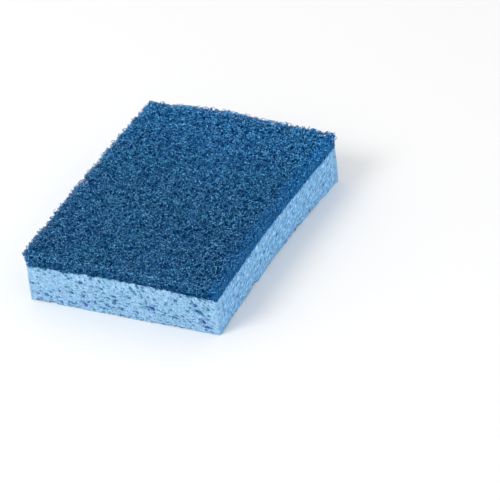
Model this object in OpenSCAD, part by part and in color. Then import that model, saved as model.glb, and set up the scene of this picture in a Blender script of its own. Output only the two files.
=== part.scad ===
// Scrubbing sponge: a die-cut block of cellulose foam with a nonwoven
// scouring pad laminated to its top face. Millimetres, +Z up, with the
// origin at the middle of the face that the sponge rests on.

/* [Cellulose block] */
// Width of the sponge, along its short side
sponge_w = 76; // [60:1:100]
// Length of the sponge, along its long side
sponge_l = 104; // [80:1:140]
// Thickness of the cellulose block
block_t = 14.5; // [10:0.5:30]
// Radius of the block's upright corners
block_corner_r = 2; // [1:0.5:5]

/* [Pores] */
// Length of the largest pores, which are in the end faces
pore_len = 4.8; // [3:0.2:8]
// Height of the largest pores, across the slab
pore_h = 1.8; // [1:0.1:3]
// Depth of the largest pores
pore_depth = 1.8; // [0.8:0.1:3]
// Spacing of the pores along an end face
pore_pitch = 5.6; // [5:0.2:12]
// Spacing of the rows of pores up an end face
pore_row = 3.6; // [3:0.2:8]
// Slant of the pores from the plane of the slab
pore_slant = 14; // [0:1:25]
// Length of the largest pores in the long sides, where the grain closes them
side_pore_len = 2.4; // [1.6:0.2:5]
// Spacing of the pores along a long side
side_pore_pitch = 20; // [8:0.5:40]
// Spacing of the pores in the resting face
base_pore_pitch = 12; // [9:0.5:24]
// Width of the largest pores in the resting face
base_pore_w = 3.4; // [2:0.2:5]

/* [Scouring pad] */
// Thickness of the pad at its middle, to the tips of its tufts
pad_t = 6.5; // [4:0.5:10]
// How far the pad thins towards its four corners
corner_droop = 1; // [0:0.1:2]
// Radius of the pad's upright corners
pad_corner_r = 2.5; // [2:0.5:8]
// Spacing of the tufts in the fibre web
tuft_pitch = 1.9; // [1.7:0.1:3]
// Depth of the hollows between the tufts
tuft_depth = 1.3; // [0.4:0.1:2]
// Drop of the worn edge round the top of the pad
edge_drop = 0.8; // [0:0.1:1.5]
// Depth of the hollows in the pad's cut sides
side_depth = 0.6; // [0:0.1:1]

/* [Hidden] */
// Facets round a pore's mouth, which is only a few millimetres across
PORE_FN = 6;
// Share of the places in the pattern that hold a pore
PORE_SHARE = 0.86;
// The smallest pore as a share of the largest
SMALLEST_PORE = 0.32;
// How much commoner the small pores are: 1 for as many of each size
PORE_BIAS = 2;
// Draws for each pore: size, place along, place up, slant and whether it is there
DRAWS = 5;
// How far a pore's mouth stands proud of the face it is cut from
CUT_MARGIN = 0.2;
block_seed = 11;

// Rows of points down the pad's sides, below the row round its top
WALL_ROWS = 3;
// How far a tuft may stray from its place in the grid, in spacings
TUFT_STRAY = 0.3;
pad_seed = 29;
tufts_across = floor(sponge_w / tuft_pitch);
tufts_along = floor(sponge_l / tuft_pitch);
top_points = (tufts_across + 1) * (tufts_along + 1);
rim_points = 2 * (tufts_across + tufts_along);
stray_across = rands(-TUFT_STRAY, TUFT_STRAY, top_points, pad_seed);
stray_along = rands(-TUFT_STRAY, TUFT_STRAY, top_points, pad_seed + 1);
hollows = rands(0, 1, top_points, pad_seed + 2);
side_hollows = rands(0, 1, rim_points * (WALL_ROWS + 1), pad_seed + 3);

// Outline of a die-cut slab
module die_outline(w, l, r) {
    square([w - 2 * r, l], center = true);
    square([w, l - 2 * r], center = true);
    for (x = [-1, 1], y = [-1, 1])
        translate([x * (w / 2 - r), y * (l / 2 - r)])
            circle(r, $fn = 24);
}

// A bubble that the knife has opened, blunt at one end and drawn out at the
// other. Its mouth lies in the XY plane and it narrows downwards.
module pore(len, wide, depth) {
    hull() {
        translate([wide / 2 - len / 2, 0, -depth])
            cylinder(h = depth + CUT_MARGIN, d1 = wide * 0.4, d2 = wide, $fn = PORE_FN);
        translate([len / 2 - wide / 4, 0, -depth / 2])
            cylinder(h = depth / 2 + CUT_MARGIN, d1 = wide * 0.2, d2 = wide / 2, $fn = 4);
    }
}

// Pores scattered over a face w wide and h high, which lies in the XY plane.
// The largest are len long, and the rest of a pore's size goes with its length.
module face_pores(w, h, pitch, row, len, wide, slant, seed) {
    cols = max(1, floor(w / pitch));
    rows = max(1, floor(h / row));
    draw = rands(0, 1, cols * rows * DRAWS, seed);
    for (i = [0 : cols - 1], j = [0 : rows - 1]) {
        n = (i + j * cols) * DRAWS;
        grow = SMALLEST_PORE + (1 - SMALLEST_PORE) * pow(draw[n], PORE_BIAS);
        if (draw[n + 4] < PORE_SHARE)
            translate([
                (i + 0.3 + 0.4 * draw[n + 1]) * w / cols - w / 2,
                (j + 0.2 + 0.6 * draw[n + 2]) * h / rows - h / 2
            ])
                rotate([0, 0, slant * (0.6 - 2 * draw[n + 3])])
                    pore(len * grow, wide * grow, pore_depth * grow * len / pore_len);
    }
}

// Pores of a pair of opposite faces, each face_w wide and away from the middle
module side_pores(face_w, away, turn, pitch, len, seed) {
    for (side = [0, 1])
        rotate([0, 0, turn + 180 * side])
            translate([0, -away, block_t / 2])
                rotate([90, 0, 0])
                    face_pores(face_w - 2 * block_corner_r, block_t, pitch, pore_row,
                               len, pore_h * len / pore_len, pore_slant, seed + side);
}

// Pores of the resting face, which are rounder and lie every way
module base_pores() {
    rotate([180, 0, 0])
        face_pores(sponge_w - 2 * block_corner_r, sponge_l - 2 * block_corner_r,
                   base_pore_pitch, base_pore_pitch, pore_len * 0.8, base_pore_w,
                   90, block_seed + 4);
}

module sponge_block() {
    color([0.60, 0.78, 0.92])
        difference() {
            linear_extrude(height = block_t)
                die_outline(sponge_w, sponge_l, block_corner_r);
            side_pores(sponge_w, sponge_l / 2, 0, pore_pitch, pore_len, block_seed);
            side_pores(sponge_l, sponge_w / 2, 90, side_pore_pitch, side_pore_len,
                       block_seed + 2);
            base_pores();
        }
}

// Number of a tuft in the list of points, counted across and then along
function tuft(i, j) = i + j * (tufts_across + 1);

// The tuft's place in the grid [i, j], round the rim from the first corner
function rim_place(n) =
    n < tufts_across ? [n, 0]
    : n < tufts_across + tufts_along ? [tufts_across, n - tufts_across]
    : n < 2 * tufts_across + tufts_along
        ? [2 * tufts_across + tufts_along - n, tufts_along]
    : [0, rim_points - n];

// Share of the pad's half width and half length that a place in the grid stands for
function spread(i, j) = [2 * i / tufts_across - 1, 2 * j / tufts_along - 1];

// A place from -1 to 1 each way, pulled into the pad's round-cornered outline,
// which is drawn in by inset
function die_cut(place, inset) =
    let (
        half_w = sponge_w / 2 - inset,
        half_l = sponge_l / 2 - inset,
        x = abs(place[0]) * half_w,
        y = abs(place[1]) * half_l,
        past_x = x - half_w + pad_corner_r,
        past_y = y - half_l + pad_corner_r,
        pull = past_x > 0 && past_y > 0
            ? max(past_x, past_y) / norm([past_x, past_y])
            : 1
    )
    pull == 1 ? [sign(place[0]) * x, sign(place[1]) * y]
    : [
        sign(place[0]) * (half_w - pad_corner_r + past_x * pull),
        sign(place[1]) * (half_l - pad_corner_r + past_y * pull)
    ];

// How far the pad's top lies below its middle at a place in the grid
function droop(i, j) = corner_droop * pow(spread(i, j)[0] * spread(i, j)[1], 2);

// Height of the web's skin at a tuft
function skin(i, j) =
    block_t + pad_t - droop(i, j) - tuft_depth * pow(hollows[tuft(i, j)], 2);

function is_rim(i, j) = i == 0 || j == 0 || i == tufts_across || j == tufts_along;

// A point of the web's skin: tufts stray inside the rim and drop along it
function skin_point(i, j) =
    let (
        n = tuft(i, j),
        flat = is_rim(i, j)
            ? die_cut(spread(i, j), side_depth * (0.4 + 0.6 * hollows[n]))
            : die_cut(spread(i + stray_across[n], j + stray_along[n]), side_depth)
    )
    [flat[0], flat[1], skin(i, j) - (is_rim(i, j) ? edge_drop : 0)];

// A point of the pad's cut side, k rows below the rim
function side_point(n, k) =
    let (
        place = rim_place(n),
        top = skin(place[0], place[1]) - edge_drop,
        drawn_in = k == WALL_ROWS ? side_depth / 2 : side_depth * side_hollows[n * WALL_ROWS + k],
        flat = die_cut(spread(place[0], place[1]), drawn_in)
    )
    [flat[0], flat[1], top + (block_t - top) * k / WALL_ROWS];

// Number of the point at place n of row k down the side, where row 0 is the rim
function side_number(n, k) =
    let (m = n % rim_points, place = rim_place(m))
    k == 0 ? tuft(place[0], place[1]) : top_points + (k - 1) * rim_points + m;

// The two faces of a cell of the skin, folded along its higher diagonal so
// that the tufts join into ridges
function cell_faces(i, j) =
    let (
        a = tuft(i, j),
        b = tuft(i + 1, j),
        c = tuft(i + 1, j + 1),
        d = tuft(i, j + 1)
    )
    skin(i, j) + skin(i + 1, j + 1) > skin(i + 1, j) + skin(i, j + 1)
        ? [[a, c, b], [a, d, c]]
        : [[a, d, b], [b, d, c]];

module scouring_pad() {
    skin_points = [
        for (j = [0 : tufts_along], i = [0 : tufts_across]) skin_point(i, j)
    ];
    side_points = [
        for (k = [1 : WALL_ROWS], n = [0 : rim_points - 1]) side_point(n, k)
    ];
    skin_faces = [
        for (j = [0 : tufts_along - 1], i = [0 : tufts_across - 1])
            each cell_faces(i, j)
    ];
    side_faces = [
        for (k = [0 : WALL_ROWS - 1], n = [0 : rim_points - 1])
            each [
                [side_number(n, k), side_number(n + 1, k), side_number(n + 1, k + 1)],
                [side_number(n, k), side_number(n + 1, k + 1), side_number(n, k + 1)]
            ]
    ];
    glued_face = [for (n = [0 : rim_points - 1]) side_number(n, WALL_ROWS)];
    color([0.15, 0.34, 0.51])
        polyhedron(
            concat(skin_points, side_points),
            concat(skin_faces, side_faces, [glued_face])
        );
}

sponge_block();
scouring_pad();
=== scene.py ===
"""A scrubbing sponge: looks for the cellulose block and the scouring pad.

Everything is in metres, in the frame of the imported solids: +Z up, the long
side along Y, the origin in the middle of the resting face.
"""
import math

import bmesh
import bpy
import numpy as np
from mathutils import Euler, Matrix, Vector, noise


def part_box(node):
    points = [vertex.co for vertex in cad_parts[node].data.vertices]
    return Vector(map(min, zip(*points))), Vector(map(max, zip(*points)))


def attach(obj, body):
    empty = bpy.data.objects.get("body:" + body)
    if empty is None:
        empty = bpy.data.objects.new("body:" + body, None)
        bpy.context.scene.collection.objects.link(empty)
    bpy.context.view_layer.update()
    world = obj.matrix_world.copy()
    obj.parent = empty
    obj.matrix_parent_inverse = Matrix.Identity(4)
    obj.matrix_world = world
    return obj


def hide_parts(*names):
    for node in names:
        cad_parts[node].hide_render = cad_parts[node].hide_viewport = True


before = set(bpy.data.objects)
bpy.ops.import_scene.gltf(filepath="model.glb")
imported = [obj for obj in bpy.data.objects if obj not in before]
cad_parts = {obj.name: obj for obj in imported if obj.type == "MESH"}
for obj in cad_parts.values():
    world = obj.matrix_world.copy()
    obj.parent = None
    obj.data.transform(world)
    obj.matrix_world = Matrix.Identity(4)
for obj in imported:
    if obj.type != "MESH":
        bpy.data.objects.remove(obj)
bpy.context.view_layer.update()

MM = 0.001

# The solids that the pieces stand for
block_low, block_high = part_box("sponge_block")
pad_low, pad_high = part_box("scouring_pad")
BLOCK_W = block_high.x - block_low.x
BLOCK_L = block_high.y - block_low.y
BLOCK_T = block_high.z - block_low.z
PAD_W = pad_high.x - pad_low.x
PAD_L = pad_high.y - pad_low.y

# Camera: a long lens, tipped because the sponge in the photo leans
LENS = 300.0
SENSOR = 36.0
VIEW_AZIMUTH = 28.26
VIEW_ELEVATION = 34.11
VIEW_ROLL = -6.36
VIEW_DISTANCE = 1.521
AIM = Vector((0.0238, 0.0032, -0.0024))

# Studio: a pale sky, a soft round lamp at the front left, and a floor just below the
# resting face, so that the two do not flicker
SKY_STRENGTH = 0.85
LAMP_PLACE = Vector((-0.35, -0.65, 0.75))
LAMP_WIDTH = 0.5
LAMP_POWER = 4.2
FLOOR_HALF = 3.0
FLOOR_GAP = 0.02 * MM

# How far the long side at the right is drawn in along its middle, how much more at the
# resting face, and up to how many half widths out this grows
SIDE_BOW = 1.3 * MM
LOW_BOW = 0.5 * MM
BOW_PAST = 1.1
# How far the web is lifted along its back end, at this place across, and how widely
BACK_LIFT = 1.3 * MM
LIFT_X = -12 * MM
LIFT_REACH = 18 * MM

# Points this near to a face are on it, and this near to the outline on a wall
TOUCH = 0.01 * MM
WALL_TOUCH = 0.08 * MM
# A side whose normal has more than this share along X is a long side
LONG_SIDE = 0.7
# Rows of faces inside the rim of a slab's hidden upper face
UPPER_ROWS = (1.2 * MM, 2.4 * MM)
# Gap round each part of a slab's map, and how many gaps its longer side has
MAP_GAP = 0.8 * MM
MAP_GAPS = 6

# Cellulose block
BLOCK_CORNER_R = 1.0 * MM
BLOCK_OUTLINE = (BLOCK_W / 2, BLOCK_L / 2, BLOCK_CORNER_R)
FOAM_GRID = 0.6 * MM
# Each step is cut this many times more on the walls
WALL_CUTS = 1
FOAM_SEED = 5
# Pores opened in one cut end, as (how many, half length range, depth range)
END_PORES = (
    (80, (0.50 * MM, 0.85 * MM), (0.30 * MM, 0.6 * MM)),
    (16, (0.80 * MM, 1.2 * MM), (0.6 * MM, 1.0 * MM)),
)
# The largest pores of both ends, set as on the front one: millimetres from
# the end's middle and up, half length and depth, slant in degrees, and blueness
# The blueness is the tint of the painted shade at the bottom of each pore
LARGE_PORES = (
    (-31.0, 3.4, 1.7, 0.5, -22, 0.2),
    (-25.2, 1.6, 1.3, 0.5, 0, 0.1),
    (-20.5, 6.4, 1.5, 1.4, 2, 0.0),
    (-16.2, 11.6, 1.4, 1.4, 4, 0.1),
    (-15.9, 5.7, 1.2, 0.7, -14, 0.2),
    (-15.4, 2.3, 1.7, 1.3, -38, 0.7),
    (-8.4, 5.2, 1.1, 1.4, 14, 1.0),
    (-8.0, 1.8, 1.0, 0.6, -20, 0.3),
    (-6.4, 4.3, 1.0, 0.7, -15, 0.4),
    (-2.6, 6.8, 1.1, 1.2, 10, 0.7),
    (-0.9, 3.1, 0.9, 1.0, -15, 0.7),
    (2.9, 9.0, 1.2, 1.4, -12, 1.0),
    (5.3, 3.3, 0.9, 1.0, -20, 0.2),
    (11.6, 6.2, 2.3, 1.6, -4, 0.8),
    (19.6, 4.2, 1.2, 1.4, -5, 0.9),
    (21.5, 11.7, 1.3, 0.5, -28, 0.0),
    (26.3, 3.6, 0.9, 0.6, -30, 0.1),
    (29.2, 11.2, 1.4, 1.2, -22, 0.9),
    (30.6, 8.6, 2.5, 0.45, -12, 0.0),
    (31.8, 4.6, 1.6, 1.4, -32, 0.8),
    (33.0, 2.1, 0.8, 1.0, -30, 0.8),
    (33.7, 6.1, 0.9, 0.6, -30, 0.2),
    (34.3, 10.4, 1.0, 0.6, -38, 0.1),
)
# Pores of one long side, where the grain closes most of them
FLANK_PORES = (
    (95, (0.45 * MM, 0.95 * MM), (0.4 * MM, 0.9 * MM)),
)
# Pores of the resting face, likewise
BASE_PORES = (
    (900, (0.45 * MM, 0.9 * MM), (0.3 * MM, 0.7 * MM)),
    (260, (0.9 * MM, 1.7 * MM), (0.6 * MM, 1.5 * MM)),
)
# Small pores of the walls turn by this share of their grain's slant, and stray by this
PORE_TURN = 0.9
PORE_STRAY = 0.45
# No pore reaches further than this many times its half length
PORE_REACH = 2
# Height of a side pore as a share of its length, and the same on the resting face
PORE_FLATNESS = 0.45
BASE_FLATNESS = 0.8
# A pore is drawn out at its left end and blunt at its right, as shares of its half length
DRAWN_OUT = 1.6
BLUNT = 0.55
# The painted shade at the bottom of a pore: its shift ahead and its reach to the left, as
# shares of the half length, and its reach to the right and up, as shares of the pore's own
DARK_AHEAD = 0.1
DARK_LEFT = 0.8
DARK_RIGHT = 0.9
DARK_UP = 0.85
# How much painted shade the shelving mouth of a pore has, as a share of its depth
MOUTH_DARK = 0.3
# Powers that steepen the rims of a bubble's depth and painted shade
DEPTH_POWER = 0.7
DARK_POWER = 0.5
# Painted shade of the shallowest pores: each millimetre of depth adds 1, up to 1 in all
SHALLOW_DARK = 0.25
# Slants of the grain: down to the right on the ends, up along the long sides
END_SLANT = math.radians(-17)
FLANK_SLANT = math.radians(34)
# How drawn out the grain is along its slant
END_GRAIN = 1.7
FLANK_GRAIN = 3.2
# How far apart resting face, ends and long sides lie in the noise of their grain
GRAIN_LAYER = 9 * MM
# Height of the crumb, and its waves a millimetre
CRUMB = 0.10 * MM
CRUMB_SCALE = 0.9
# Bites out of the lower edge, as (how many, height range, width range), and one big one
NICKS = (110, (0.2 * MM, 1.2 * MM), (1.2 * MM, 4.0 * MM))
BIG_NICK = (8.2 * MM, 1.1 * MM, 1.8 * MM)
# The largest bites of both long sides, set as on the right one: millimetres from
# the left corner, height and width
FLANK_NICKS = (
    (18.4, 1.1, 2.0),
    (21.4, 1.3, 2.6),
    (30.6, 2.0, 3.4),
    (53.0, 1.2, 2.4),
    (68.4, 2.1, 3.8),
    (80.3, 1.1, 2.2),
    (87.6, 1.1, 2.4),
)
# A bite is steep at its left, over this share of its width. The big one has a flat top,
# and would be this many times as high without it
BITE_STEEP = 0.08
BIG_NICK_FLAT = 1.6
# How far a bite reaches up the wall and in under the block
BITE_UP = 3 * MM
BITE_IN = 2 * MM
# Over how much of a side, from its corners, streaks, specks and the painted shade of the long
# sides fade in
CORNER_FADE = 3.5 * MM
# The same for pores near the rim of the resting face and near a wall's two edges, and
# the share of their depth that is left at the edge
BASE_FADE = 1.5 * MM
EDGE_FADE = 0.5 * MM
EDGE_OPEN = 0.15
# The walls are a little hollow, and wander in and out: how many waves, and the shortest
WALL_HOLLOW = 0.2 * MM
WALL_WAVE = 0.1 * MM
WALL_WAVES = (14, 9 * MM)
# Specks in the grain, painted shade that stands for small pores: how many a millimetre,
# and the largest as a share of its cell, with the steepness of their edges
SPECKS = ((0.72, 0.38), (1.6, 0.34), (3.2, 0.36))
SPECK_EDGE = 3.2
# How much they show on the long sides, at a corner and at the left of each end, and over
# what part this grows to 1
FLANK_OPEN = 0.4
CORNER_OPEN = 0.25
LEAN_OPEN = 0.75
LEAN_PART = 30 * MM
# Waves of the seam, the shortest as a share of the way round, and how far down they reach
SEAM_WAVE = 0.22 * MM
SEAM_WAVES = (24, 0.008)
SEAM_REACH = 2 * MM
# Lift of the seam at the middle of the front end
SEAM_ARCH = 1.4 * MM

# Scouring pad: a dense inner web under a loose skin of curled fibres
PAD_CORNER_R = 1.0 * MM
PAD_OUTLINE = (PAD_W / 2, PAD_L / 2, PAD_CORNER_R)
PAD_AROUND = 2 * (PAD_W + PAD_L) - (8 - 2 * math.pi) * PAD_CORNER_R
CORNER_DROOP = 0.7 * MM
WEB_INSET = 0.45 * MM
WEB_DROP = 0.95 * MM
# The inner web's rim drops by this, over this width, and its sides lean in by the same
WEB_SHOULDER = 0.4 * MM
SHOULDER_WIDTH = 1.2 * MM
LEAN_WIDTH = 2.4 * MM
WEB_GRID = 0.9 * MM
WEB_ROUGH = 0.13 * MM
# Tones of the inner web, where 0 is the dullest fibre and 1 the brightest
WEB_TONES = (0.2, 0.8)
LOOSE_DEPTH = 2.0 * MM
# How much painted shade the cut sides of the web get, as a share of that depth
SIDE_SHADE = 0.06
# The web is pressed along its long sides, and there light and shade are painted: how far in
# this begins, over what width it grows, the same down from the top, and the share that the rim
# at the right has
PRESSED_IN = 3.5 * MM
PRESSED_WIDTH = 3.0 * MM
PRESSED_DOWN = 0.5 * MM
PRESSED_HEIGHT = 2.4 * MM
PRESSED_RIM = 0.4
FIBRE_R = 0.115 * MM
FIBRE_STEP = 0.56 * MM
FIBRE_POINTS = 12
# A fibre bends as tightly as this, and its bend drifts over this many steps
CURL_R = 0.70 * MM
CURL_DRIFT = 4.0
# Near the outline a fibre turns back by this much a step: from this far inside on, fully
# after this way, and until the cosine of its way out is this low
LOOP_TURN = 0.85
LOOP_START = 0.75 * MM
LOOP_GROW = 0.4 * MM
LOOP_END = -0.5
# No loop reaches further out than this and the lip together
LOOP_REACH = 0.8 * MM
# A fibre of the top lies this deep in the skin, with this spread, and at most so high
SINK = 0.45 * MM
SINK_SPREAD = 0.55 * MM
SINK_DRIFT = 2.2
HIGHEST = 0.5 * MM
# How far the skin drops at its rim, over what width, and how this goes on past it
RIM_DROP = 0.35 * MM
RIM_WIDTH = 2 * MM
RIM_PAST = 1.3
# How far the loose fibres stand out past the cut outline, over what width those of the
# top are spread for it, and the waves of the outline, as for the seam
LIP = 0.40 * MM
LIP_WIDTH = 5 * MM
OUTLINE_WAVE = 0.20 * MM
OUTLINE_WAVES = (48, 0.0045)
# How far they are tucked in at the seam, and how far down that begins
SEAM_TUCK = 0.10 * MM
TUCK_START = 1.0 * MM
FIBRE_SEED = 17
TOP_FIBRE_PIECES = 3
TOP_FIBRES = 2700
EDGE_FIBRES = 2250
# Fibres that run round the rim in loops: their sizes, how far in they are rooted, their
# drift as a share of a step, tilts, stray up and down, over how many steps, and how far
# out they stand at most where pressed
RIM_FIBRES = 450
RIM_LOOPS = (0.45 * MM, 0.95 * MM)
RIM_ROOT = 0.30 * MM
RIM_DRIFTS = (-0.25, 0.25)
RIM_TILTS = (-0.2, 0.9)
RIM_STRAY = 0.3 * MM
RIM_STRAY_DRIFT = 5.0
RIM_FLAT = 0.2 * MM
# Fibres of the sides wrap over the top this far, and lie this deep under top and sides
EDGE_WRAP = 2.5 * MM
EDGE_SINK = 0.4 * MM
FUZZ_SINK = 0.15 * MM
# How far they stray in and out, over how many steps, the least share of it, where most
# stands out and over what height, and the share on the pressed long sides, from where
FUZZ = 0.30 * MM
FUZZ_DRIFT = 2.6
FUZZ_REST = 0.8
FUZZ_DOWN = 0.6 * MM
FUZZ_HEIGHT = 1.2 * MM
FUZZ_PRESSED = 0.6
PRESSED_FROM = 0.8 * MM
# They hang this far below the seam at most. Near it, and past their wrap over the top,
# they turn back with this force, which grows over this way
HANG = 0.2 * MM
TURN_AT_SEAM = 0.9 * MM
TURN_GROW = 0.6 * MM
TURN_FORCE = 1.3
# Columns of strips in a map of fibres, and the margins of a strip, as shares
MAP_COLUMNS = 10
STRIP_END = 0.02
STRIP_SIDE = 0.08
# Sockets of a Mix node for colours
MIX_FIRST = 6
MIX_SECOND = 7
MIX_RESULT = 2


def rounded_rect_distance(x, y, half_w, half_l, r):
    """Distance out from a round-cornered outline, negative inside it."""
    qx = np.abs(x) - (half_w - r)
    qy = np.abs(y) - (half_l - r)
    outside = np.hypot(np.maximum(qx, 0), np.maximum(qy, 0))
    return outside + np.minimum(np.maximum(qx, qy), 0) - r


def outline_at(s, half_w, half_l, r):
    """Points and outward normals of a round-cornered outline, at the way s along it.

    It starts at the left end of the front side and runs anticlockwise.
    """
    straight_w = 2 * (half_w - r)
    straight_l = 2 * (half_l - r)
    quarter = math.pi * r / 2
    whole = 2 * (straight_w + straight_l) + 4 * quarter
    s = np.mod(s, whole)
    x, y = np.zeros_like(s), np.zeros_like(s)
    nx, ny = np.zeros_like(s), np.zeros_like(s)
    start = 0.0
    # Each side runs from its corner, and its corner arc follows it
    for turn, (run, cx, cy) in enumerate((
        (straight_w, half_w - r, -(half_l - r)),
        (straight_l, half_w - r, half_l - r),
        (straight_w, -(half_w - r), half_l - r),
        (straight_l, -(half_w - r), -(half_l - r)),
    )):
        heading = turn * math.pi / 2
        out = heading - math.pi / 2
        here = (s >= start) & (s < start + run)
        back = start + run - s[here]
        x[here] = cx - back * math.cos(heading) + r * math.cos(out)
        y[here] = cy - back * math.sin(heading) + r * math.sin(out)
        nx[here], ny[here] = math.cos(out), math.sin(out)
        start += run
        here = (s >= start) & (s < start + quarter)
        angle = out + (s[here] - start) / r
        x[here], y[here] = cx + r * np.cos(angle), cy + r * np.sin(angle)
        nx[here], ny[here] = np.cos(angle), np.sin(angle)
        start += quarter
    return x, y, nx, ny


def outline_place(x, y, half_w, half_l, r):
    """The way along the outline of the points nearest to x, y, and the normals there."""
    straight_w = 2 * (half_w - r)
    straight_l = 2 * (half_l - r)
    quarter = math.pi * r / 2
    qx = np.abs(x) - (half_w - r)
    qy = np.abs(y) - (half_l - r)
    corner = (qx > 0) & (qy > 0)
    on_long = ~corner & (qx > qy)
    nx = np.where(corner, np.sign(x) * qx, np.where(on_long, np.sign(x), 0.0))
    ny = np.where(corner, np.sign(y) * qy, np.where(on_long, 0.0, np.sign(y)))
    length = np.hypot(nx, ny)
    nx, ny = nx / length, ny / length
    angle = np.mod(np.arctan2(ny, nx) + math.pi / 2, 2 * math.pi)
    side = np.floor(angle / (math.pi / 2) + 1e-6).astype(int) % 4
    side_start = np.array([
        0.0,
        straight_w + quarter,
        straight_w + straight_l + 2 * quarter,
        2 * straight_w + straight_l + 3 * quarter,
    ])
    run = np.array([straight_w, straight_l, straight_w, straight_l])
    along = np.choose(side, [
        x + straight_w / 2, y + straight_l / 2, straight_w / 2 - x, straight_l / 2 - y,
    ])
    part_turn = angle - side * (math.pi / 2)
    s = side_start[side] + np.where(corner, run[side] + part_turn * r, along)
    return s, nx, ny


def drifting(rng, count, reach):
    """Random values that drift along each fibre over about reach steps, about 1 in size."""
    keep = math.exp(-1.0 / reach)
    kick = math.sqrt(1 - keep * keep)
    out = rng.standard_normal((count, FIBRE_POINTS))
    for k in range(1, FIBRE_POINTS):
        out[:, k] = keep * out[:, k - 1] + kick * out[:, k]
    return out


def waves(rng, length, count, shortest):
    """A function of the way along a closed edge: a random wavy line, about 1 in size."""
    cycles = rng.integers(2, int(length / shortest), count)
    phase = rng.uniform(0, 2 * math.pi, count)

    def height(s):
        turn = 2 * math.pi * np.outer(s / length, cycles) + phase
        return np.sin(turn).sum(axis=1) * math.sqrt(2.0 / count)
    return height


def add_object(name, data):
    thing = bpy.data.objects.new(name, data)
    bpy.context.collection.objects.link(thing)
    return thing


def add_piece(name, mesh):
    piece = add_object(name, mesh)
    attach(piece, "root")
    return piece


def bowed(place):
    """The places with the long side at the right drawn in, and the web lifted at the back."""
    out = np.clip(place[:, 0] / (PAD_W / 2), 0, BOW_PAST)
    along = np.clip(np.abs(place[:, 1]) / (PAD_L / 2), 0, 1)
    low = np.clip(1 - (place[:, 2] - block_low.z) / BLOCK_T, 0, 1)
    moved = place.copy()
    moved[:, 0] -= (SIDE_BOW + LOW_BOW * low) * out ** 2 * (1 - along ** 2)
    in_web = np.clip((place[:, 2] - pad_low.z) / (pad_high.z - pad_low.z), 0, 1)
    back = np.clip(place[:, 1] / (PAD_L / 2), 0, 1) ** 3
    bell = np.exp(-((place[:, 0] - LIFT_X) / LIFT_REACH) ** 2)
    moved[:, 2] += BACK_LIFT * in_web * back * bell
    return moved


def vertex_places(mesh):
    flat = np.empty(len(mesh.vertices) * 3)
    mesh.vertices.foreach_get("co", flat)
    return flat.reshape(-1, 3)


def set_vertex_places(mesh, places):
    mesh.vertices.foreach_set("co", places.ravel())
    mesh.update()


def grow_row(bm, rim):
    """A new row of faces on the rim: its outer edges, its outer points and its faces."""
    grown = bmesh.ops.extrude_edge_only(bm, edges=rim)["geom"]
    kinds = (bmesh.types.BMEdge, bmesh.types.BMVert, bmesh.types.BMFace)
    return [[g for g in grown if isinstance(g, kind)] for kind in kinds]


def slab_mesh(name, low, high, corner_r, grid, wall_cuts=0):
    """A closed slab with upright round corners, cut into an even grid, finer on its walls."""
    size = high - low
    half_w, half_l = size.x / 2, size.y / 2
    across, along = round(size.x / grid), round(size.y / grid)
    levels = round(size.z / grid)
    bm = bmesh.new()
    bmesh.ops.create_grid(bm, x_segments=across, y_segments=along, size=0.5)
    bmesh.ops.scale(bm, vec=(size.x, size.y, 1), verts=bm.verts)
    for v in bm.verts:
        past_x = abs(v.co.x) - half_w + corner_r
        past_y = abs(v.co.y) - half_l + corner_r
        if past_x > 0 and past_y > 0:
            pull = max(past_x, past_y) / math.hypot(past_x, past_y)
            v.co.x = math.copysign(half_w - corner_r + past_x * pull, v.co.x)
            v.co.y = math.copysign(half_l - corner_r + past_y * pull, v.co.y)
    bmesh.ops.translate(bm, vec=(0, 0, low.z), verts=bm.verts)
    bmesh.ops.reverse_faces(bm, faces=bm.faces)
    rim = [e for e in bm.edges if e.is_boundary]
    walls = []
    for _ in range(levels):
        rim, ring, faces = grow_row(bm, rim)
        walls += faces
        bmesh.ops.translate(bm, vec=(0, 0, size.z / levels), verts=ring)
    # The upper face: narrow rows inside its rim, then one plain face
    for inset in UPPER_ROWS:
        rim, ring, _ = grow_row(bm, rim)
        shrink = (1 - inset / half_w, 1 - inset / half_l, 1)
        bmesh.ops.scale(bm, vec=shrink, verts=ring)
    bmesh.ops.edgenet_fill(bm, edges=rim)
    if wall_cuts:
        edges = list(dict.fromkeys(e for f in walls for e in f.edges))
        bmesh.ops.subdivide_edges(bm, edges=edges, cuts=wall_cuts, use_grid_fill=True)
    bmesh.ops.recalc_face_normals(bm, faces=bm.faces)
    mesh = bpy.data.meshes.new(name)
    bm.to_mesh(mesh)
    bm.free()
    unroll_slab(mesh, low, high, corner_r)
    return mesh


def mark(mesh, **marks):
    """Numbers for the material, one for each vertex."""
    for name, values in marks.items():
        mesh.attributes.new(name, "FLOAT", "POINT").data.foreach_set("value", values)


def corner_vertices(mesh):
    """The vertex of each face corner, and the face that each corner belongs to."""
    vertex = np.empty(len(mesh.loops), int)
    mesh.loops.foreach_get("vertex_index", vertex)
    sizes = np.empty(len(mesh.polygons), int)
    mesh.polygons.foreach_get("loop_total", sizes)
    return vertex, np.repeat(np.arange(len(sizes)), sizes)


def set_map(mesh, u, v):
    layer = mesh.uv_layers.new(name="OFBake")
    layer.data.foreach_set("uv", np.column_stack((u, v)).ravel())


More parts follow.
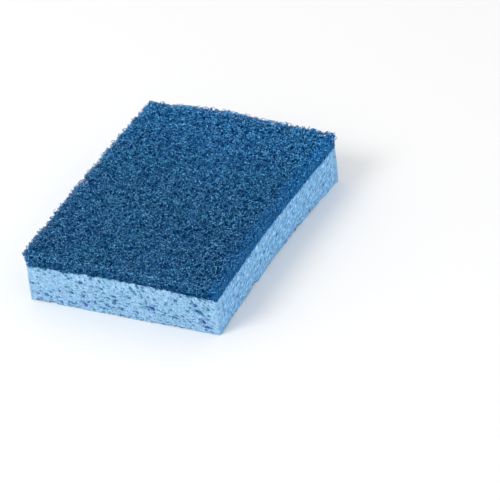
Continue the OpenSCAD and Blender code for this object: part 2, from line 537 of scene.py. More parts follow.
def unroll_slab(mesh, low, high, corner_r):
    """A map of a plain slab: its two faces side by side, and its four walls above them."""
    size = high - low
    vertex, face = corner_vertices(mesh)
    first = np.flatnonzero(np.diff(face, prepend=-1))
    sizes = np.bincount(face)
    x, y, z = vertex_places(mesh)[vertex].T
    lowest = np.minimum.reduceat(z, first)[face]
    wall = np.maximum.reduceat(z, first)[face] - lowest > TOUCH
    upper = lowest > low.z + size.z / 2
    runs = np.array((size.x, size.y, size.x, size.y)) - (2 - math.pi / 2) * corner_r
    starts = np.cumsum(runs) - runs
    around = runs.sum()
    s = np.zeros(len(x))
    s[wall] = outline_place(x[wall], y[wall], size.x / 2, size.y / 2, corner_r)[0]
    # A face of a wall lies on the side that its middle is on
    start = s[first][face]
    gap = np.mod(s - start + around / 2, around) - around / 2
    half = (np.add.reduceat(gap, first) / sizes)[face]
    middle = np.mod(start + half, around)
    side = np.searchsorted(starts, middle, side="right") - 1
    along = middle - starts[side] + gap - half
    u = np.where(wall, along, x - low.x + upper * (size.x + MAP_GAP))
    rise = size.y + (side + 1) * MAP_GAP + side * size.z
    v = np.where(wall, rise + z - low.z, y - low.y)
    whole = max(2 * size.x, size.y + 4 * size.z) + MAP_GAPS * MAP_GAP
    set_map(mesh, (u + MAP_GAP) / whole, (v + MAP_GAP) / whole)


def scatter_pores(rng, kinds, length, height):
    """Pores of an unrolled face: place along and up, half length, depth, tilt and the blueness
    of their painted shade.

    Most of a kind are nearer its smallest size, and few are blue.
    """
    rows = []
    for count, (small, large), (shallow, deep) in kinds:
        grow = rng.uniform(0, 1, count) ** 1.5
        rows.append(np.column_stack((
            rng.uniform(0, length, count),
            rng.uniform(0, height, count),
            small + grow * (large - small),
            shallow + grow * (deep - shallow),
            rng.normal(0, 1, count),
            rng.uniform(0, 1, count) ** 2,
        )))
    return np.concatenate(rows)


def bubble(u, v, left, right, high):
    """1 in the middle and 0 from the rim on, with a reach of its own to each side."""
    past_left = np.minimum(u, 0) / left
    past_right = np.maximum(u, 0) / right
    return np.maximum(1 - past_left ** 2 - past_right ** 2 - (v / high) ** 2, 0)


def pore_shape(u, v, half_len, half_high):
    """How deep an opened bubble is, and how much painted shade it has, as shares.

    It shelves down from its drawn-out end, and the painted shade lies at its blunt end.
    """
    right = half_len * BLUNT
    scoop = bubble(u, v, half_len * DRAWN_OUT, right, half_high) ** DEPTH_POWER
    ahead = u - DARK_AHEAD * half_len
    core = bubble(ahead, v, half_len * DARK_LEFT, right * DARK_RIGHT, DARK_UP * half_high)
    return scoop, np.maximum(core ** DARK_POWER, MOUTH_DARK * scoop)


def pore_near(on_face, across, up, turn, half_len, flatness):
    """The points of a face that a pore reaches, how deep it is there and its painted shade."""
    reach = PORE_REACH * half_len
    near = on_face & (np.abs(across) < reach) & (np.abs(up) < reach)
    u = across[near] * math.cos(turn) + up[near] * math.sin(turn)
    v = up[near] * math.cos(turn) - across[near] * math.sin(turn)
    return near, *pore_shape(u, v, half_len, half_len * flatness)


def grained_noise(grain, scale):
    """Smooth random values from -1 to 1 over the grain's unrolled places."""
    return np.array([noise.noise(Vector(g) * scale) for g in grain])


class FoamWalls:
    """The cut sides of the block, unrolled: s runs anticlockwise round it from above."""

    def __init__(self, place):
        self.end = BLOCK_W - 2 * BLOCK_CORNER_R
        self.flank = BLOCK_L - 2 * BLOCK_CORNER_R
        self.arc = math.pi / 2 * BLOCK_CORNER_R
        self.around = 2 * (self.end + self.flank) + 4 * self.arc
        x, y, self.z = place.T
        self.s, self.nx, self.ny = outline_place(x, y, *BLOCK_OUTLINE)
        self.inside = -rounded_rect_distance(x, y, *BLOCK_OUTLINE)
        self.is_wall = self.inside < WALL_TOUCH
        self.is_flank = np.abs(self.nx) > LONG_SIDE

    def sides(self):
        """Start, length, kinds of pores and slant of each side, in their order round it."""
        starts = np.cumsum((0, self.end + self.arc, self.flank + self.arc, self.end + self.arc))
        runs = (self.end, self.flank, self.end, self.flank)
        kinds = (END_PORES, FLANK_PORES, END_PORES, FLANK_PORES)
        slants = (END_SLANT, FLANK_SLANT, END_SLANT, FLANK_SLANT)
        return zip(starts, runs, kinds, slants)

    def along(self):
        """The way along each side from its left corner."""
        start = np.zeros_like(self.s)
        for first, *_ in self.sides():
            start = np.where(self.s >= first, first, start)
        return self.s - start

    def from_corner(self):
        run = np.where(self.is_flank, self.flank, self.end)
        return np.maximum(np.minimum(self.along(), run - self.along()), 0)

    def gap_from(self, s0):
        return np.mod(self.s - s0 + self.around / 2, self.around) - self.around / 2


def wall_pores(rng, walls):
    """Every pore of the walls: place round and up, half length, depth, turn and blueness of its
    painted shade.
    """
    for start, run, kinds, slant in walls.sides():
        for along, up, half_len, deep, tilt, hue in scatter_pores(rng, kinds, run, BLOCK_T):
            yield start + along, up, half_len, deep, slant * (PORE_TURN + PORE_STRAY * tilt), hue
        if kinds is END_PORES:
            for off, up, half_len, deep, tilt, hue in LARGE_PORES:
                yield (start + run / 2 + off * MM, up * MM, half_len * MM, deep * MM,
                       math.radians(tilt), hue)


def pore_walls(rng, walls):
    """How deep the pores of the walls are at each point, and how dark and blue their painted
    shade is.
    """
    depth = np.zeros(len(walls.s))
    dark = np.zeros(len(walls.s))
    blue = np.zeros(len(walls.s))
    for s0, up, half_len, deep, turn, hue in wall_pores(rng, walls):
        ds, dz = walls.gap_from(s0), walls.z - block_low.z - up
        near, scoop, core = pore_near(walls.is_wall, ds, dz, turn, half_len, PORE_FLATNESS)
        core = core * min(1.0, SHALLOW_DARK + deep / MM)
        depth[near] = np.maximum(depth[near], deep * scoop)
        blue[near] = np.where(core > dark[near], hue, blue[near])
        dark[near] = np.maximum(dark[near], core)
    return depth, dark, blue


def pore_base(rng, walls, place):
    """The same for the resting face, whose pores lie every way."""
    is_base = (walls.z < block_low.z + TOUCH) & ~walls.is_wall
    depth = np.zeros(len(walls.s))
    dark = np.zeros(len(walls.s))
    for x0, y0, half_len, deep, tilt, _ in scatter_pores(rng, BASE_PORES, BLOCK_W, BLOCK_L):
        dx = place[:, 0] + BLOCK_W / 2 - x0
        dy = place[:, 1] + BLOCK_L / 2 - y0
        turn = tilt * math.pi
        near, scoop, core = pore_near(is_base, dx, dy, turn, half_len, BASE_FLATNESS)
        depth[near] = np.maximum(depth[near], deep * scoop)
        dark[near] = np.maximum(dark[near], core)
    # Near the rim of the resting face the pores fade out, so that the wall stays closed
    fade = np.clip(walls.inside / BASE_FADE, 0, 1)
    return depth * fade, dark * fade


def nick_heights(rng, walls):
    """How far the lower edge is bitten away at each point, steep at the left of each bite."""
    count, heights, widths = NICKS
    bites = [
        (rng.uniform(0, walls.around), rng.uniform(*heights), rng.uniform(*widths))
        for _ in range(count)
    ]
    for start, _, kinds, _ in walls.sides():
        if kinds is FLANK_PORES:
            bites += [(start + along * MM, high * MM, wide * MM)
                      for along, high, wide in FLANK_NICKS]
    s0, height, width = BIG_NICK
    t = walls.gap_from(s0) / width
    rise = height * np.clip(BIG_NICK_FLAT * (1 - t ** 2), 0, 1)
    for s0, height, width in bites:
        t = walls.gap_from(s0) / width
        inside = (t > -BITE_STEEP) & (t < 1)
        bite = np.where(inside, np.minimum((t + BITE_STEEP) / BITE_STEEP, 1) * (1 - t), 0)
        rise = np.maximum(rise, bite * height)
    return rise


def foam_block():
    """The cellulose block: crumbly cut sides, opened pores and a nicked lower edge."""
    rng = np.random.default_rng(FOAM_SEED)
    mesh = slab_mesh("cellulose_sponge", block_low, block_high, BLOCK_CORNER_R, FOAM_GRID,
                     WALL_CUTS)
    place = vertex_places(mesh)
    walls = FoamWalls(place)

    # The grain in millimetres: along its slant, and across it
    slant = np.where(walls.is_flank, FLANK_SLANT, END_SLANT)
    drawn = np.where(walls.is_flank, FLANK_GRAIN, END_GRAIN)
    up = walls.z - block_low.z
    along = (walls.s * np.cos(slant) + up * np.sin(slant)) / drawn
    across = up * np.cos(slant) - walls.s * np.sin(slant)
    on_wall = np.column_stack((along, across, GRAIN_LAYER * (1 + walls.is_flank)))
    on_base = np.column_stack((place[:, 0], place[:, 1], np.zeros(len(place))))
    grain = np.where(walls.is_wall[:, None], on_wall, on_base) / MM

    depth, dark, blue = pore_walls(rng, walls)
    raised, base_dark = pore_base(rng, walls, place)
    crumb = grained_noise(grain, CRUMB_SCALE) * CRUMB
    wave = waves(rng, walls.around, *WALL_WAVES)(walls.s) * WALL_WAVE
    hollow = WALL_HOLLOW * np.sin(math.pi * up / BLOCK_T)
    margin = np.minimum(up, BLOCK_T - up)
    depth *= np.clip(margin / EDGE_FADE, EDGE_OPEN, 1)
    move_in = np.where(walls.is_wall, wave - hollow + depth + crumb, 0)
    place[:, 0] -= walls.nx * move_in
    place[:, 1] -= walls.ny * move_in
    bitten = nick_heights(rng, walls)
    fade = np.where(walls.is_wall, 1 - up / BITE_UP, 1 - walls.inside / BITE_IN)
    place[:, 2] += raised + bitten * np.clip(fade, 0, 1) * (up < BITE_UP)
    seam = seam_wave(walls.s / walls.around) * np.clip(1 - (BLOCK_T - up) / SEAM_REACH, 0, 1)
    place[:, 2] += np.where(walls.is_wall, seam, 0)
    set_vertex_places(mesh, bowed(place))

    from_corner = walls.from_corner()
    flank = np.where(walls.is_flank, np.clip(from_corner / CORNER_FADE, 0, 1), 0)
    past_lean = np.clip(walls.along() / LEAN_PART, 0, 1)
    grown = np.where(walls.is_flank, FLANK_OPEN, LEAN_OPEN + (1 - LEAN_OPEN) * past_lean)
    openness = grown * np.clip(CORNER_OPEN + from_corner / CORNER_FADE, 0, 1)
    openness = np.where(walls.is_wall, openness, 1.0)
    mark(mesh, pore_dark=dark + base_dark, pore_blue=blue, open_share=openness,
         flank=flank * walls.is_wall)
    mesh.attributes.new("grain", "FLOAT_VECTOR", "POINT").data.foreach_set(
        "vector", grain.ravel())
    mesh.shade_smooth()
    return mesh


def link(tree, source, target):
    tree.links.new(source, target)


def new_material(name):
    material = bpy.data.materials.new(name)
    material.use_nodes = True
    tree = material.node_tree
    shader = tree.nodes["Principled BSDF"]
    return material, tree, shader


def attribute_node(tree, name, output="Fac"):
    node = tree.nodes.new("ShaderNodeAttribute")
    node.attribute_name = name
    return node.outputs[output]


def noise_node(tree, scale, detail, roughness=0.5, where=None):
    if where is None:
        where = tree.nodes.new("ShaderNodeTexCoord").outputs["Object"]
    node = tree.nodes.new("ShaderNodeTexNoise")
    node.inputs["Scale"].default_value = scale
    node.inputs["Detail"].default_value = detail
    node.inputs["Roughness"].default_value = roughness
    link(tree, where, node.inputs["Vector"])
    return node.outputs["Fac"]


def ramp_node(tree, source, stops):
    node = tree.nodes.new("ShaderNodeValToRGB")
    ramp = node.color_ramp
    while len(ramp.elements) < len(stops):
        ramp.elements.new(0.5)
    for element, (position, colour) in zip(ramp.elements, stops):
        element.position = position
        element.color = (*colour, 1)
    link(tree, source, node.inputs["Fac"])
    return node.outputs["Color"]


def math_node(tree, kind, first, second, third=0.5, clamp=False):
    node = tree.nodes.new("ShaderNodeMath")
    node.operation = kind
    node.use_clamp = clamp
    for socket, value in zip(node.inputs, (first, second, third)):
        if isinstance(value, float):
            socket.default_value = value
        else:
            link(tree, value, socket)
    return node.outputs[0]


def colour_node(tree, colour):
    node = tree.nodes.new("ShaderNodeRGB")
    node.outputs[0].default_value = (*colour, 1)
    return node.outputs[0]


def cells_node(tree, where, scale, dimensions):
    """Scattered cells: a random value for each, and the distance from its middle."""
    cells = tree.nodes.new("ShaderNodeTexVoronoi")
    cells.voronoi_dimensions = dimensions
    cells.inputs["Scale"].default_value = scale
    link(tree, where, cells.inputs["Vector"])
    split = tree.nodes.new("ShaderNodeSeparateColor")
    link(tree, cells.outputs["Color"], split.inputs["Color"])
    return split.outputs["Red"], cells.outputs["Distance"]


def speck_factor(tree, where, scale, largest):
    """Small soft dots scattered over the grain: 1 at their middles, 0 between them."""
    size, distance = cells_node(tree, where, scale, "2D")
    reach = math_node(tree, "MULTIPLY", size, largest)
    inside = math_node(tree, "SUBTRACT", reach, distance)
    return math_node(tree, "MULTIPLY", inside, SPECK_EDGE / largest, clamp=True)


def mix_node(tree, kind, factor, first, second):
    node = tree.nodes.new("ShaderNodeMix")
    node.data_type = "RGBA"
    node.blend_type = kind
    if isinstance(factor, float):
        node.inputs["Factor"].default_value = factor
    else:
        link(tree, factor, node.inputs["Factor"])
    link(tree, first, node.inputs[MIX_FIRST])
    link(tree, second, node.inputs[MIX_SECOND])
    return node.outputs[MIX_RESULT]


def cellulose_material():
    """Pale blue foam, mottled along its grain, with teal specks and blue in the big pores as
    painted shade, and a painted shade tint on its long sides.
    """
    material, tree, shader = new_material("light_blue_cellulose")
    shader.inputs["Roughness"].default_value = 0.9
    shader.inputs["Specular IOR Level"].default_value = 0.1
    grain = attribute_node(tree, "grain", "Vector")
    mottle = noise_node(tree, scale=1.5, detail=3.0, roughness=0.6, where=grain)
    colour = ramp_node(tree, mottle, (
        (0.3, (0.18, 0.37, 0.58)),
        (0.47, (0.285, 0.51, 0.74)),
        (0.68, (0.425, 0.665, 0.91)),
    ))
    tint = noise_node(tree, scale=0.22, detail=1.0, where=grain)
    wash = ramp_node(tree, tint, (
        (0.35, (1.03, 0.98, 1.01)),
        (0.65, (0.95, 1.02, 0.99)),
    ))
    colour = mix_node(tree, "MULTIPLY", 1.0, colour, wash)
    flank = attribute_node(tree, "flank")
    # Painted shade: the long sides are tinted the deeper, more saturated blue of shade
    painted_side_shade = ramp_node(tree, flank, ((0.0, (1, 1, 1)), (1.0, (0.79, 1.005, 1.16))))
    colour = mix_node(tree, "MULTIPLY", 1.0, colour, painted_side_shade)
    # Torn cell walls on the long sides, as light and dark streaks along the grain
    torn = noise_node(tree, scale=1.5, detail=3.0, roughness=0.75, where=grain)
    streaks = ramp_node(tree, torn, (
        (0.34, (0.38, 0.56, 0.71)),
        (0.5, (1.0, 1.0, 1.0)),
        (0.64, (1.90, 1.45, 1.18)),
    ))
    colour = mix_node(tree, "MULTIPLY", flank, colour, streaks)
    # Specks of painted shade stand for small pores; where the grain is closed they fade
    open_share = attribute_node(tree, "open_share")
    speck_shade_colour = colour_node(tree, (0.07, 0.20, 0.36))
    for scale, largest in SPECKS:
        specks = speck_factor(tree, grain, scale, largest)
        specks = math_node(tree, "MULTIPLY", specks, open_share)
        colour = mix_node(tree, "MIX", specks, colour, speck_shade_colour)
    # Painted shade in the pores, darkest towards their blunt ends, in a teal or a bluer tint
    dark = attribute_node(tree, "pore_dark")
    pore_shade_ramps = [
        ramp_node(tree, dark, ((0.0, (1, 1, 1)), (0.45, middle), (1.0, deepest)))
        for middle, deepest in (
            ((0.26, 0.44, 0.58), (0.04, 0.14, 0.25)),
            ((0.22, 0.38, 0.76), (0.02, 0.085, 0.36)),
        )
    ]
    pores = mix_node(tree, "MIX", attribute_node(tree, "pore_blue"), *pore_shade_ramps)
    colour = mix_node(tree, "MULTIPLY", 1.0, colour, pores)
    link(tree, colour, shader.inputs["Base Color"])
    bump = tree.nodes.new("ShaderNodeBump")
    bump.inputs["Strength"].default_value = 0.6
    bump.inputs["Distance"].default_value = 0.25 * MM
    link(tree, mottle, bump.inputs["Height"])
    link(tree, bump.outputs["Normal"], shader.inputs["Normal"])
    return material


def web_material():
    """Dark blue resin-bonded fibre, lighter where it lies loose on top, as painted shade darkens
    it deeper in the skin, with painted glints, and painted light towards the back end and along
    the long sides.
    """
    material, tree, shader = new_material("dark_blue_web")
    shader.inputs["Roughness"].default_value = 0.5
    shader.inputs["Specular IOR Level"].default_value = 0.015
    # Painted shade: the fibres darken the deeper they lie in the skin
    colour = ramp_node(tree, attribute_node(tree, "buried"), (
        (0.0, (0.072, 0.285, 0.58)),
        (0.2, (0.022, 0.156, 0.375)),
        (0.5, (0.005, 0.074, 0.23)),
        (1.0, (0.001, 0.045, 0.16)),
    ))
    # Each fibre has its own tone, from dull to bright
    own = ramp_node(tree, attribute_node(tree, "strand_tone"), (
        (0.0, (0.78, 0.87, 0.91)),
        (0.6, (1.0, 1.0, 1.0)),
        (1.0, (1.28, 1.17, 1.11)),
    ))
    where = tree.nodes.new("ShaderNodeTexCoord").outputs["Object"]
    # Painted glints and painted shade: small random cells along the fibres are lit far past the
    # fibre's colour, or darkened
    glint_cells, _ = cells_node(tree, where, 2900.0, "3D")
    painted_glint = ramp_node(tree, glint_cells, (
        (0.0, (0.02, 0.09, 0.22)),
        (0.45, (0.54, 0.68, 0.80)),
        (0.8, (1.53, 1.38, 1.24)),
        (1.0, (4.6, 3.05, 2.2)),
    ))
    patch = noise_node(tree, scale=45.0, detail=1.0)
    wash = ramp_node(tree, patch, (
        (0.4, (0.96, 1.01, 0.99)),
        (0.6, (1.02, 0.99, 1.01)),
    ))
    # Painted light: the web is lighter and bluer towards the back end
    end_wise = tree.nodes.new("ShaderNodeSeparateXYZ")
    link(tree, where, end_wise.inputs["Vector"])
    to_back = math_node(tree, "MULTIPLY_ADD", end_wise.outputs["Y"], 1 / PAD_L, 0.5)
    painted_back_light = ramp_node(tree, to_back, (
        (0.0, (0.96, 0.94, 0.93)),
        (0.5, (1.0, 1.0, 1.0)),
        (1.0, (1.10, 1.28, 1.30)),
    ))
    # Along the long sides the pressed web is a dark line of painted shade and then lighter with
    # painted light
    flank = attribute_node(tree, "flank")
    painted_band_light = ramp_node(tree, flank, (
        (0.0, (1.0, 1.0, 1.0)),
        (0.2, (0.99, 1.07, 1.18)),
        (0.4, (0.60, 0.82, 0.95)),
        (0.6, (1.05, 1.17, 1.25)),
        (1.0, (1.30, 1.26, 1.25)),
    ))
    for layer in (own, painted_glint, wash, painted_back_light, painted_band_light):
        colour = mix_node(tree, "MULTIPLY", 1.0, colour, layer)
    # Where it is pressed most, painted light makes it a lighter blue, in blotches
    blotch = noise_node(tree, scale=900.0, detail=1.0)
    share = math_node(tree, "MULTIPLY_ADD", blotch, 2.4, -0.75, clamp=True)
    low_down = math_node(tree, "POWER", flank, 2.5)
    factor = math_node(tree, "MULTIPLY", low_down, share)
    colour = mix_node(tree, "MIX", factor, colour, colour_node(tree, (0.030, 0.265, 0.64)))
    link(tree, colour, shader.inputs["Base Color"])
    return material


def droop(x, y):
    """How far the pad's top lies below its middle: it thins towards the corners."""
    return CORNER_DROOP * (x * y / (PAD_W / 2 * PAD_L / 2)) ** 2


def seam_wave(share):
    """The ragged line where the web meets the foam, over the share of the way round."""
    rng = np.random.default_rng(FIBRE_SEED)
    over_front = np.clip(np.mod(share, 1.0) * PAD_AROUND / PAD_W, 0, 1)
    arch = SEAM_ARCH * np.sin(math.pi * over_front)
    return waves(rng, 1.0, *SEAM_WAVES)(share) * SEAM_WAVE + arch


def outline_wave(share):
    """How far the web's outline stands out, as it wanders in and out, likewise."""
    rng = np.random.default_rng(FIBRE_SEED + 1)
    return LIP + waves(rng, 1.0, *OUTLINE_WAVES)(share) * OUTLINE_WAVE


def pad_outline(x, y):
    """Distance outside the pad's outline, share of the way round it, and normals."""
    s, nx, ny = outline_place(x, y, *PAD_OUTLINE)
    return rounded_rect_distance(x, y, *PAD_OUTLINE), s / PAD_AROUND, nx, ny


def mark_web(mesh, strand_tone):
    """Mark the depth of each point in the skin for painted shade, how far it is pressed for
    painted light and shade, and its tone.
    """
    x, y, z = vertex_places(mesh).T
    past, share, *_ = pad_outline(x, y)
    out = past - outline_wave(share)
    up = z - pad_high.z + droop(x, y)
    on_side = np.clip(-up / MM, 0, 1) * SIDE_SHADE
    depth = np.clip(on_side - np.maximum(out, up) / LOOSE_DEPTH, 0, 1)
    flank = np.clip((np.abs(x) - PAD_W / 2 + PRESSED_IN) / PRESSED_WIDTH, 0, 1)
    # The long side at the right is pressed up to its rim and a little over it, and its painted
    # light and shade reach as far
    at_rim = np.where(x > 0, PRESSED_RIM, 0.0)
    flank *= at_rim + (1 - at_rim) * np.clip((-up - PRESSED_DOWN) / PRESSED_HEIGHT, 0, 1)
    mark(mesh, buried=depth, flank=flank, strand_tone=strand_tone)


def web_body_mesh():
    """The dense inner part of the web, with a rounded upper edge."""
    rng = np.random.default_rng(FIBRE_SEED)
    low = Vector((pad_low.x + WEB_INSET, pad_low.y + WEB_INSET, pad_low.z))
    high = Vector((pad_high.x - WEB_INSET, pad_high.y - WEB_INSET, pad_high.z - WEB_DROP))
    corner_r = PAD_CORNER_R - WEB_INSET
    mesh = slab_mesh("web_body", low, high, corner_r, WEB_GRID)
    place = vertex_places(mesh)
    share_up = (place[:, 2] - low.z) / (high.z - low.z)
    _, nx, ny = outline_place(place[:, 0], place[:, 1], high.x, high.y, corner_r)
    past = rounded_rect_distance(place[:, 0], place[:, 1], high.x, high.y, corner_r)
    near_rim = np.clip(1 + past / SHOULDER_WIDTH, 0, 1)
    place[:, 2] -= share_up * near_rim ** 2 * WEB_SHOULDER
    place[:, 2] -= share_up * droop(place[:, 0], place[:, 1])
    pull = share_up ** 3 * np.clip(1 + past / LEAN_WIDTH, 0, 1) * WEB_SHOULDER
    place[:, 0] -= nx * pull
    place[:, 1] -= ny * pull
    place[:, 2] += rng.normal(0, WEB_ROUGH, len(place)) * (place[:, 2] > low.z + TOUCH)
    set_vertex_places(mesh, place)
    mark_web(mesh, rng.uniform(*WEB_TONES, len(place)))
    set_vertex_places(mesh, bowed(place))
    return mesh


def top_fibre_paths(rng, count):
    """Curled fibres that wander in the web's skin and loop back at its outline."""
    # One fibre starts in each cell of a grid, so that no bare patch is left
    rows = round(math.sqrt(count * PAD_L / PAD_W))
    places = np.arange(count) + rng.uniform(0, 1, count)
    x = (np.mod(places * rows / count, 1.0) - 0.5) * PAD_W
    row = np.floor(np.arange(count) * rows / count)
    y = ((row + rng.uniform(0, 1, count)) / rows - 0.5) * PAD_L
    heading = rng.uniform(0, 2 * math.pi, count)
    curl = drifting(rng, count, CURL_DRIFT) / CURL_R
    level = drifting(rng, count, SINK_DRIFT)
    path = np.empty((count, FIBRE_POINTS, 3))
    for k in range(FIBRE_POINTS):
        path[:, k, 0], path[:, k, 1] = x, y
        past, _, nx, ny = pad_outline(x, y)
        away = np.mod(heading - np.arctan2(ny, nx) + math.pi, 2 * math.pi) - math.pi
        astray = np.clip((past + LOOP_START) / LOOP_GROW, 0, 1) * (np.cos(away) > LOOP_END)
        heading += curl[:, k] * FIBRE_STEP * (1 - astray) + LOOP_TURN * astray * np.sign(away)
        x = x + np.cos(heading) * FIBRE_STEP
        y = y + np.sin(heading) * FIBRE_STEP
    past, share, nx, ny = pad_outline(path[..., 0], path[..., 1])
    over = np.maximum(past, 0)
    pull = over - LOOP_REACH * np.tanh(over / LOOP_REACH)
    lip = outline_wave(share.ravel()).reshape(share.shape)
    pull -= lip * np.clip(1 + past / LIP_WIDTH, 0, 1)
    shoulder = np.clip(1 + past / RIM_WIDTH, 0, RIM_PAST) ** 2 * RIM_DROP
    sink = np.clip(SINK + SINK_SPREAD * level, -HIGHEST, LOOSE_DEPTH)
    path[..., 2] = pad_high.z - droop(path[..., 0], path[..., 1]) - shoulder - sink
    path[..., 0] -= nx * pull
    path[..., 1] -= ny * pull
    return path


def edge_fibre_paths(rng, count):
    """Fibres of the cut sides, which also wrap over the rim of the top."""
    thick = pad_high.z - pad_low.z
    s = rng.uniform(0, PAD_AROUND, count)
    # The way down from the rim, which is negative on the top face
    down = rng.uniform(-EDGE_WRAP, thick, count)
    heading = rng.uniform(0, 2 * math.pi, count)
    curl = drifting(rng, count, CURL_DRIFT) / CURL_R
    stray = drifting(rng, count, FUZZ_DRIFT) * FUZZ
    path = np.empty((count, FIBRE_POINTS, 3))
    for k in range(FIBRE_POINTS):
        x, y, nx, ny = outline_at(s, *PAD_OUTLINE)
        # Most fuzz stands out at the rim, and less on the long sides, which are pressed
        fuzzy = FUZZ_REST + np.clip(1 - np.abs(down - FUZZ_DOWN) / FUZZ_HEIGHT, 0, 1)
        pressed = (np.abs(nx) > LONG_SIDE) & (down > PRESSED_FROM)
        proud = stray[:, k] * fuzzy * np.where(pressed, FUZZ_PRESSED, 1) - FUZZ_SINK
        at_seam = np.clip((down - TUCK_START) / (thick - TUCK_START), 0, 1)
        lip = outline_wave(s / PAD_AROUND) * (1 - at_seam) - SEAM_TUCK * at_seam
        out = proud + np.minimum(down, 0) + lip
        path[:, k, 0] = x + nx * out
        path[:, k, 1] = y + ny * out
        rise = np.where(down < 0, proud, -down)
        lowest = pad_low.z + seam_wave(s / PAD_AROUND) - HANG
        path[:, k, 2] = np.maximum(pad_high.z - droop(x, y) - EDGE_SINK + rise, lowest)
        heading += curl[:, k] * FIBRE_STEP
        low = np.clip((down - thick + TURN_AT_SEAM) / TURN_GROW, 0, 1)
        high = np.clip((-EDGE_WRAP - down) / TURN_GROW, 0, 1)
        heading += low * np.sin(-math.pi / 2 - heading) * TURN_FORCE
        heading += high * np.sin(math.pi / 2 - heading) * TURN_FORCE
        s = s + np.cos(heading) * FIBRE_STEP
        down = down + np.sin(heading) * FIBRE_STEP
    return path


def rim_fibre_paths(rng, count):
    """Fibres that run round the rim of the top in loops, which stand out past it."""
    size = rng.uniform(*RIM_LOOPS, (count, 1))
    start = rng.uniform(0, PAD_AROUND, (count, 1))
    drift = rng.uniform(*RIM_DRIFTS, (count, 1)) * FIBRE_STEP
    tilt = rng.uniform(*RIM_TILTS, (count, 1))
    level = drifting(rng, count, RIM_STRAY_DRIFT) * RIM_STRAY
    steps = np.arange(FIBRE_POINTS)
    phase = rng.uniform(0, 2 * math.pi, (count, 1)) + steps * FIBRE_STEP / size
    s = start + drift * steps + size * np.sin(phase)
    x, y, nx, ny = outline_at(s, *PAD_OUTLINE)
    lip = outline_wave(s.ravel() / PAD_AROUND).reshape(s.shape)
    out = lip - RIM_ROOT + size * np.cos(phase)
    # The long side at the right is pressed flat
    out = np.where(nx > LONG_SIDE, np.minimum(out, RIM_FLAT), out)
    z = pad_high.z - droop(x, y) - SINK + level + tilt * size * np.cos(phase)
    return np.stack((x + nx * out, y + ny * out, z), axis=-1)


def fibre_mesh(name, paths, rng):
    """Three-sided tubes along the paths."""
    profile_curve = bpy.data.curves.new("fibre_section", "CURVE")
    profile_curve.dimensions = "2D"
    ring = profile_curve.splines.new("POLY")
    ring.points.add(2)
    for k, point in enumerate(ring.points):
        angle = 2 * math.pi * k / 3
        point.co = (FIBRE_R * math.cos(angle), FIBRE_R * math.sin(angle), 0, 1)
    ring.use_cyclic_u = True
    profile = add_object("fibre_section", profile_curve)
    curve = bpy.data.curves.new(name, "CURVE")
    curve.dimensions = "3D"
    curve.bevel_mode = "OBJECT"
    curve.bevel_object = profile
    curve.use_fill_caps = True
    for path in paths:
        spline = curve.splines.new("POLY")
        spline.points.add(len(path) - 1)
        spline.points.foreach_set("co", np.column_stack((path, np.ones(len(path)))).ravel())
    holder = add_object(name + "_curve", curve)
    bpy.context.view_layer.update()
    graph = bpy.context.evaluated_depsgraph_get()
    mesh = bpy.data.meshes.new_from_object(holder.evaluated_get(graph))
    mesh.name = name
    for spare in (holder, profile):
        bpy.data.objects.remove(spare)
    around = len(mesh.vertices) // len(paths)
    mark_web(mesh, np.repeat(rng.uniform(0, 1, len(paths)), around))
    set_vertex_places(mesh, bowed(vertex_places(mesh)))
    unroll_fibres(mesh, len(paths))
    return mesh


def unroll_fibres(mesh, count):
    """A map with each tube unrolled into a strip of its own, in MAP_COLUMNS columns."""
    rows = math.ceil(count / MAP_COLUMNS)
    vertex, face = corner_vertices(mesh)
    around = len(mesh.vertices) // count
    strand, rest = np.divmod(vertex, around)
    step, side = np.divmod(rest, 3)
    # The side that closes the ring runs on from 2 to 3, and not back to 0
    has_last = np.zeros(len(mesh.polygons), bool)
    has_last[face[side == 2]] = True
    has_first = np.zeros(len(mesh.polygons), bool)
    has_first[face[side == 0]] = True
    side = np.where((has_first & has_last)[face] & (side == 0), 3, side)
    along = STRIP_END + (1 - 2 * STRIP_END) * step / (FIBRE_POINTS - 1)
    across = STRIP_SIDE + (1 - 2 * STRIP_SIDE) * side / 3
    u = (strand % MAP_COLUMNS + along) / MAP_COLUMNS
    v = (strand // MAP_COLUMNS + across) / rows
    set_map(mesh, u, v)


def build_sponge():
    block = add_piece("cellulose_sponge", foam_block())
    block.data.materials.append(cellulose_material())
    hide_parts("sponge_block")


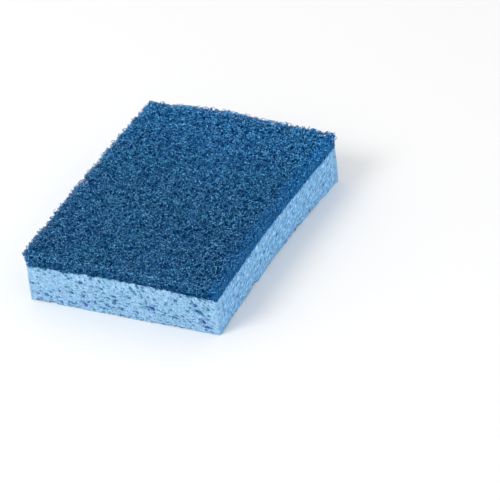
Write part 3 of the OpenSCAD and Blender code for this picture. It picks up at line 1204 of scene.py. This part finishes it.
def build_pad():
    finish = web_material()
    rng = np.random.default_rng(FIBRE_SEED)
    web = add_piece("web_body", web_body_mesh())
    pieces = [web]
    for k in range(TOP_FIBRE_PIECES):
        name = f"web_fibres_{k + 1}"
        pieces.append(add_piece(name, fibre_mesh(name, top_fibre_paths(rng, TOP_FIBRES), rng)))
    name = "web_edge_fibres"
    edge = np.concatenate((edge_fibre_paths(rng, EDGE_FIBRES), rim_fibre_paths(rng, RIM_FIBRES)))
    pieces.append(add_piece(name, fibre_mesh(name, edge, rng)))
    for piece in pieces:
        piece.data.materials.clear()
        piece.data.materials.append(finish)
        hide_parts("scouring_pad")


def build_floor():
    bm = bmesh.new()
    bmesh.ops.create_grid(bm, x_segments=1, y_segments=1, size=FLOOR_HALF)
    mesh = bpy.data.meshes.new("floor")
    bm.to_mesh(mesh)
    bm.free()
    floor = add_object("floor", mesh)
    floor.location.z = -FLOOR_GAP
    material, _, shader = new_material("pale_floor")
    shader.inputs["Base Color"].default_value = (0.93, 0.93, 0.93, 1)
    shader.inputs["Roughness"].default_value = 0.9
    mesh.materials.append(material)


def build_light():
    world = bpy.data.worlds.new("studio")
    world.use_nodes = True
    background = world.node_tree.nodes["Background"]
    background.inputs["Color"].default_value = (1, 1, 1, 1)
    background.inputs["Strength"].default_value = SKY_STRENGTH
    bpy.context.scene.world = world
    lamp = bpy.data.lights.new("key", "AREA")
    lamp.shape = "DISK"
    lamp.size = LAMP_WIDTH
    lamp.energy = LAMP_POWER
    key = add_object("key", lamp)
    key.location = LAMP_PLACE
    key.rotation_euler = (-LAMP_PLACE).to_track_quat("-Z", "Y").to_euler()


def build_camera():
    lens = bpy.data.cameras.new("camera")
    lens.lens = LENS
    lens.sensor_width = SENSOR
    lens.clip_start = 0.05
    lens.clip_end = 20
    camera = add_object("camera", lens)
    azimuth, elevation = math.radians(VIEW_AZIMUTH), math.radians(VIEW_ELEVATION)
    back = Vector((
        math.sin(azimuth) * math.cos(elevation),
        -math.cos(azimuth) * math.cos(elevation),
        math.sin(elevation),
    ))
    camera.location = AIM + back * VIEW_DISTANCE
    level = Euler((math.pi / 2 - elevation, 0, azimuth)).to_quaternion()
    roll = Euler((0, 0, math.radians(VIEW_ROLL))).to_quaternion()
    camera.rotation_euler = (level @ roll).to_euler()
    bpy.context.scene.camera = camera


build_camera()
build_light()
build_floor()
build_sponge()
build_pad()
bpy.context.scene.view_settings.view_transform = "Standard"
